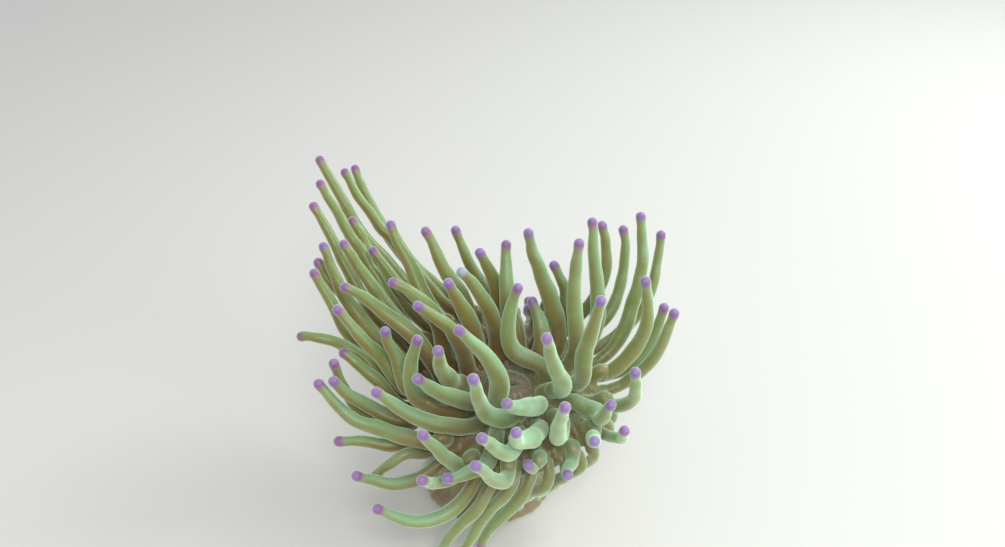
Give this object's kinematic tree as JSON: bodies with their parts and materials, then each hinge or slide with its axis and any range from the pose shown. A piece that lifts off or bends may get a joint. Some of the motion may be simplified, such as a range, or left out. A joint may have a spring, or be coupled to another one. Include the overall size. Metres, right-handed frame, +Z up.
{
  "type": "sea anemone",
  "caption": "Life-size giant anemone: a short column with a flared foot, a round oral disc and a crown of long round-tipped tentacles.",
  "frame": {"origin": "centre of the flat underside of the pedal disc", "axes": "+Z up, out of the floor; the front of the crown looks along -Y; +X to the right as seen from the front"},
  "size_m": [0.2248, 0.2384, 0.1727],
  "materials": {
    "tentacle_flesh": "moist translucent olive green flesh, violet at the rounded tips",
    "margin_flesh": "moist olive green flesh, brown at the roots of the tentacles",
    "disc_flesh": "moist pinkish grey flesh with fine radial folds",
    "column_flesh": "moist orange brown skin with fine lengthwise and ringed folds"
  },
  "bodies": {
    "root": {"pedal_disc": "column_flesh", "column_lower": "column_flesh", "column_upper": "column_flesh", "oral_disc": "disc_flesh", "mouth_lips": "disc_flesh", "tentacle_inner_01": "tentacle_flesh", "tentacle_inner_02": "tentacle_flesh", "tentacle_inner_03": "tentacle_flesh", "tentacle_inner_04": "tentacle_flesh", "tentacle_inner_05": "tentacle_flesh", "tentacle_inner_06": "tentacle_flesh", "tentacle_inner_07": "tentacle_flesh", "tentacle_inner_08": "tentacle_flesh", "tentacle_inner_09": "tentacle_flesh", "tentacle_inner_10": "tentacle_flesh", "tentacle_inner_11": "tentacle_flesh", "tentacle_inner_12": "tentacle_flesh", "tentacle_middle_01": "tentacle_flesh", "tentacle_middle_02": "tentacle_flesh", "tentacle_middle_03": "tentacle_flesh", "tentacle_middle_04": "tentacle_flesh", "tentacle_middle_05": "tentacle_flesh", "tentacle_middle_06": "tentacle_flesh", "tentacle_middle_07": "tentacle_flesh", "tentacle_middle_08": "tentacle_flesh", "tentacle_middle_09": "tentacle_flesh", "tentacle_middle_10": "tentacle_flesh", "tentacle_middle_11": "tentacle_flesh", "tentacle_middle_12": "tentacle_flesh", "tentacle_middle_13": "tentacle_flesh", "tentacle_middle_14": "tentacle_flesh", "tentacle_middle_15": "tentacle_flesh", "tentacle_middle_16": "tentacle_flesh", "tentacle_middle_17": "tentacle_flesh", "tentacle_middle_18": "tentacle_flesh", "margin_01": "margin_flesh", "margin_02": "margin_flesh", "margin_03": "margin_flesh", "margin_04": "margin_flesh", "margin_05": "margin_flesh", "margin_06": "margin_flesh", "margin_07": "margin_flesh", "margin_08": "margin_flesh", "margin_09": "margin_flesh", "margin_10": "margin_flesh", "margin_11": "margin_flesh", "margin_12": "margin_flesh", "margin_13": "margin_flesh", "margin_14": "margin_flesh", "margin_15": "margin_flesh", "margin_16": "margin_flesh", "margin_17": "margin_flesh", "margin_18": "margin_flesh"}
  },
  "joints": []
}
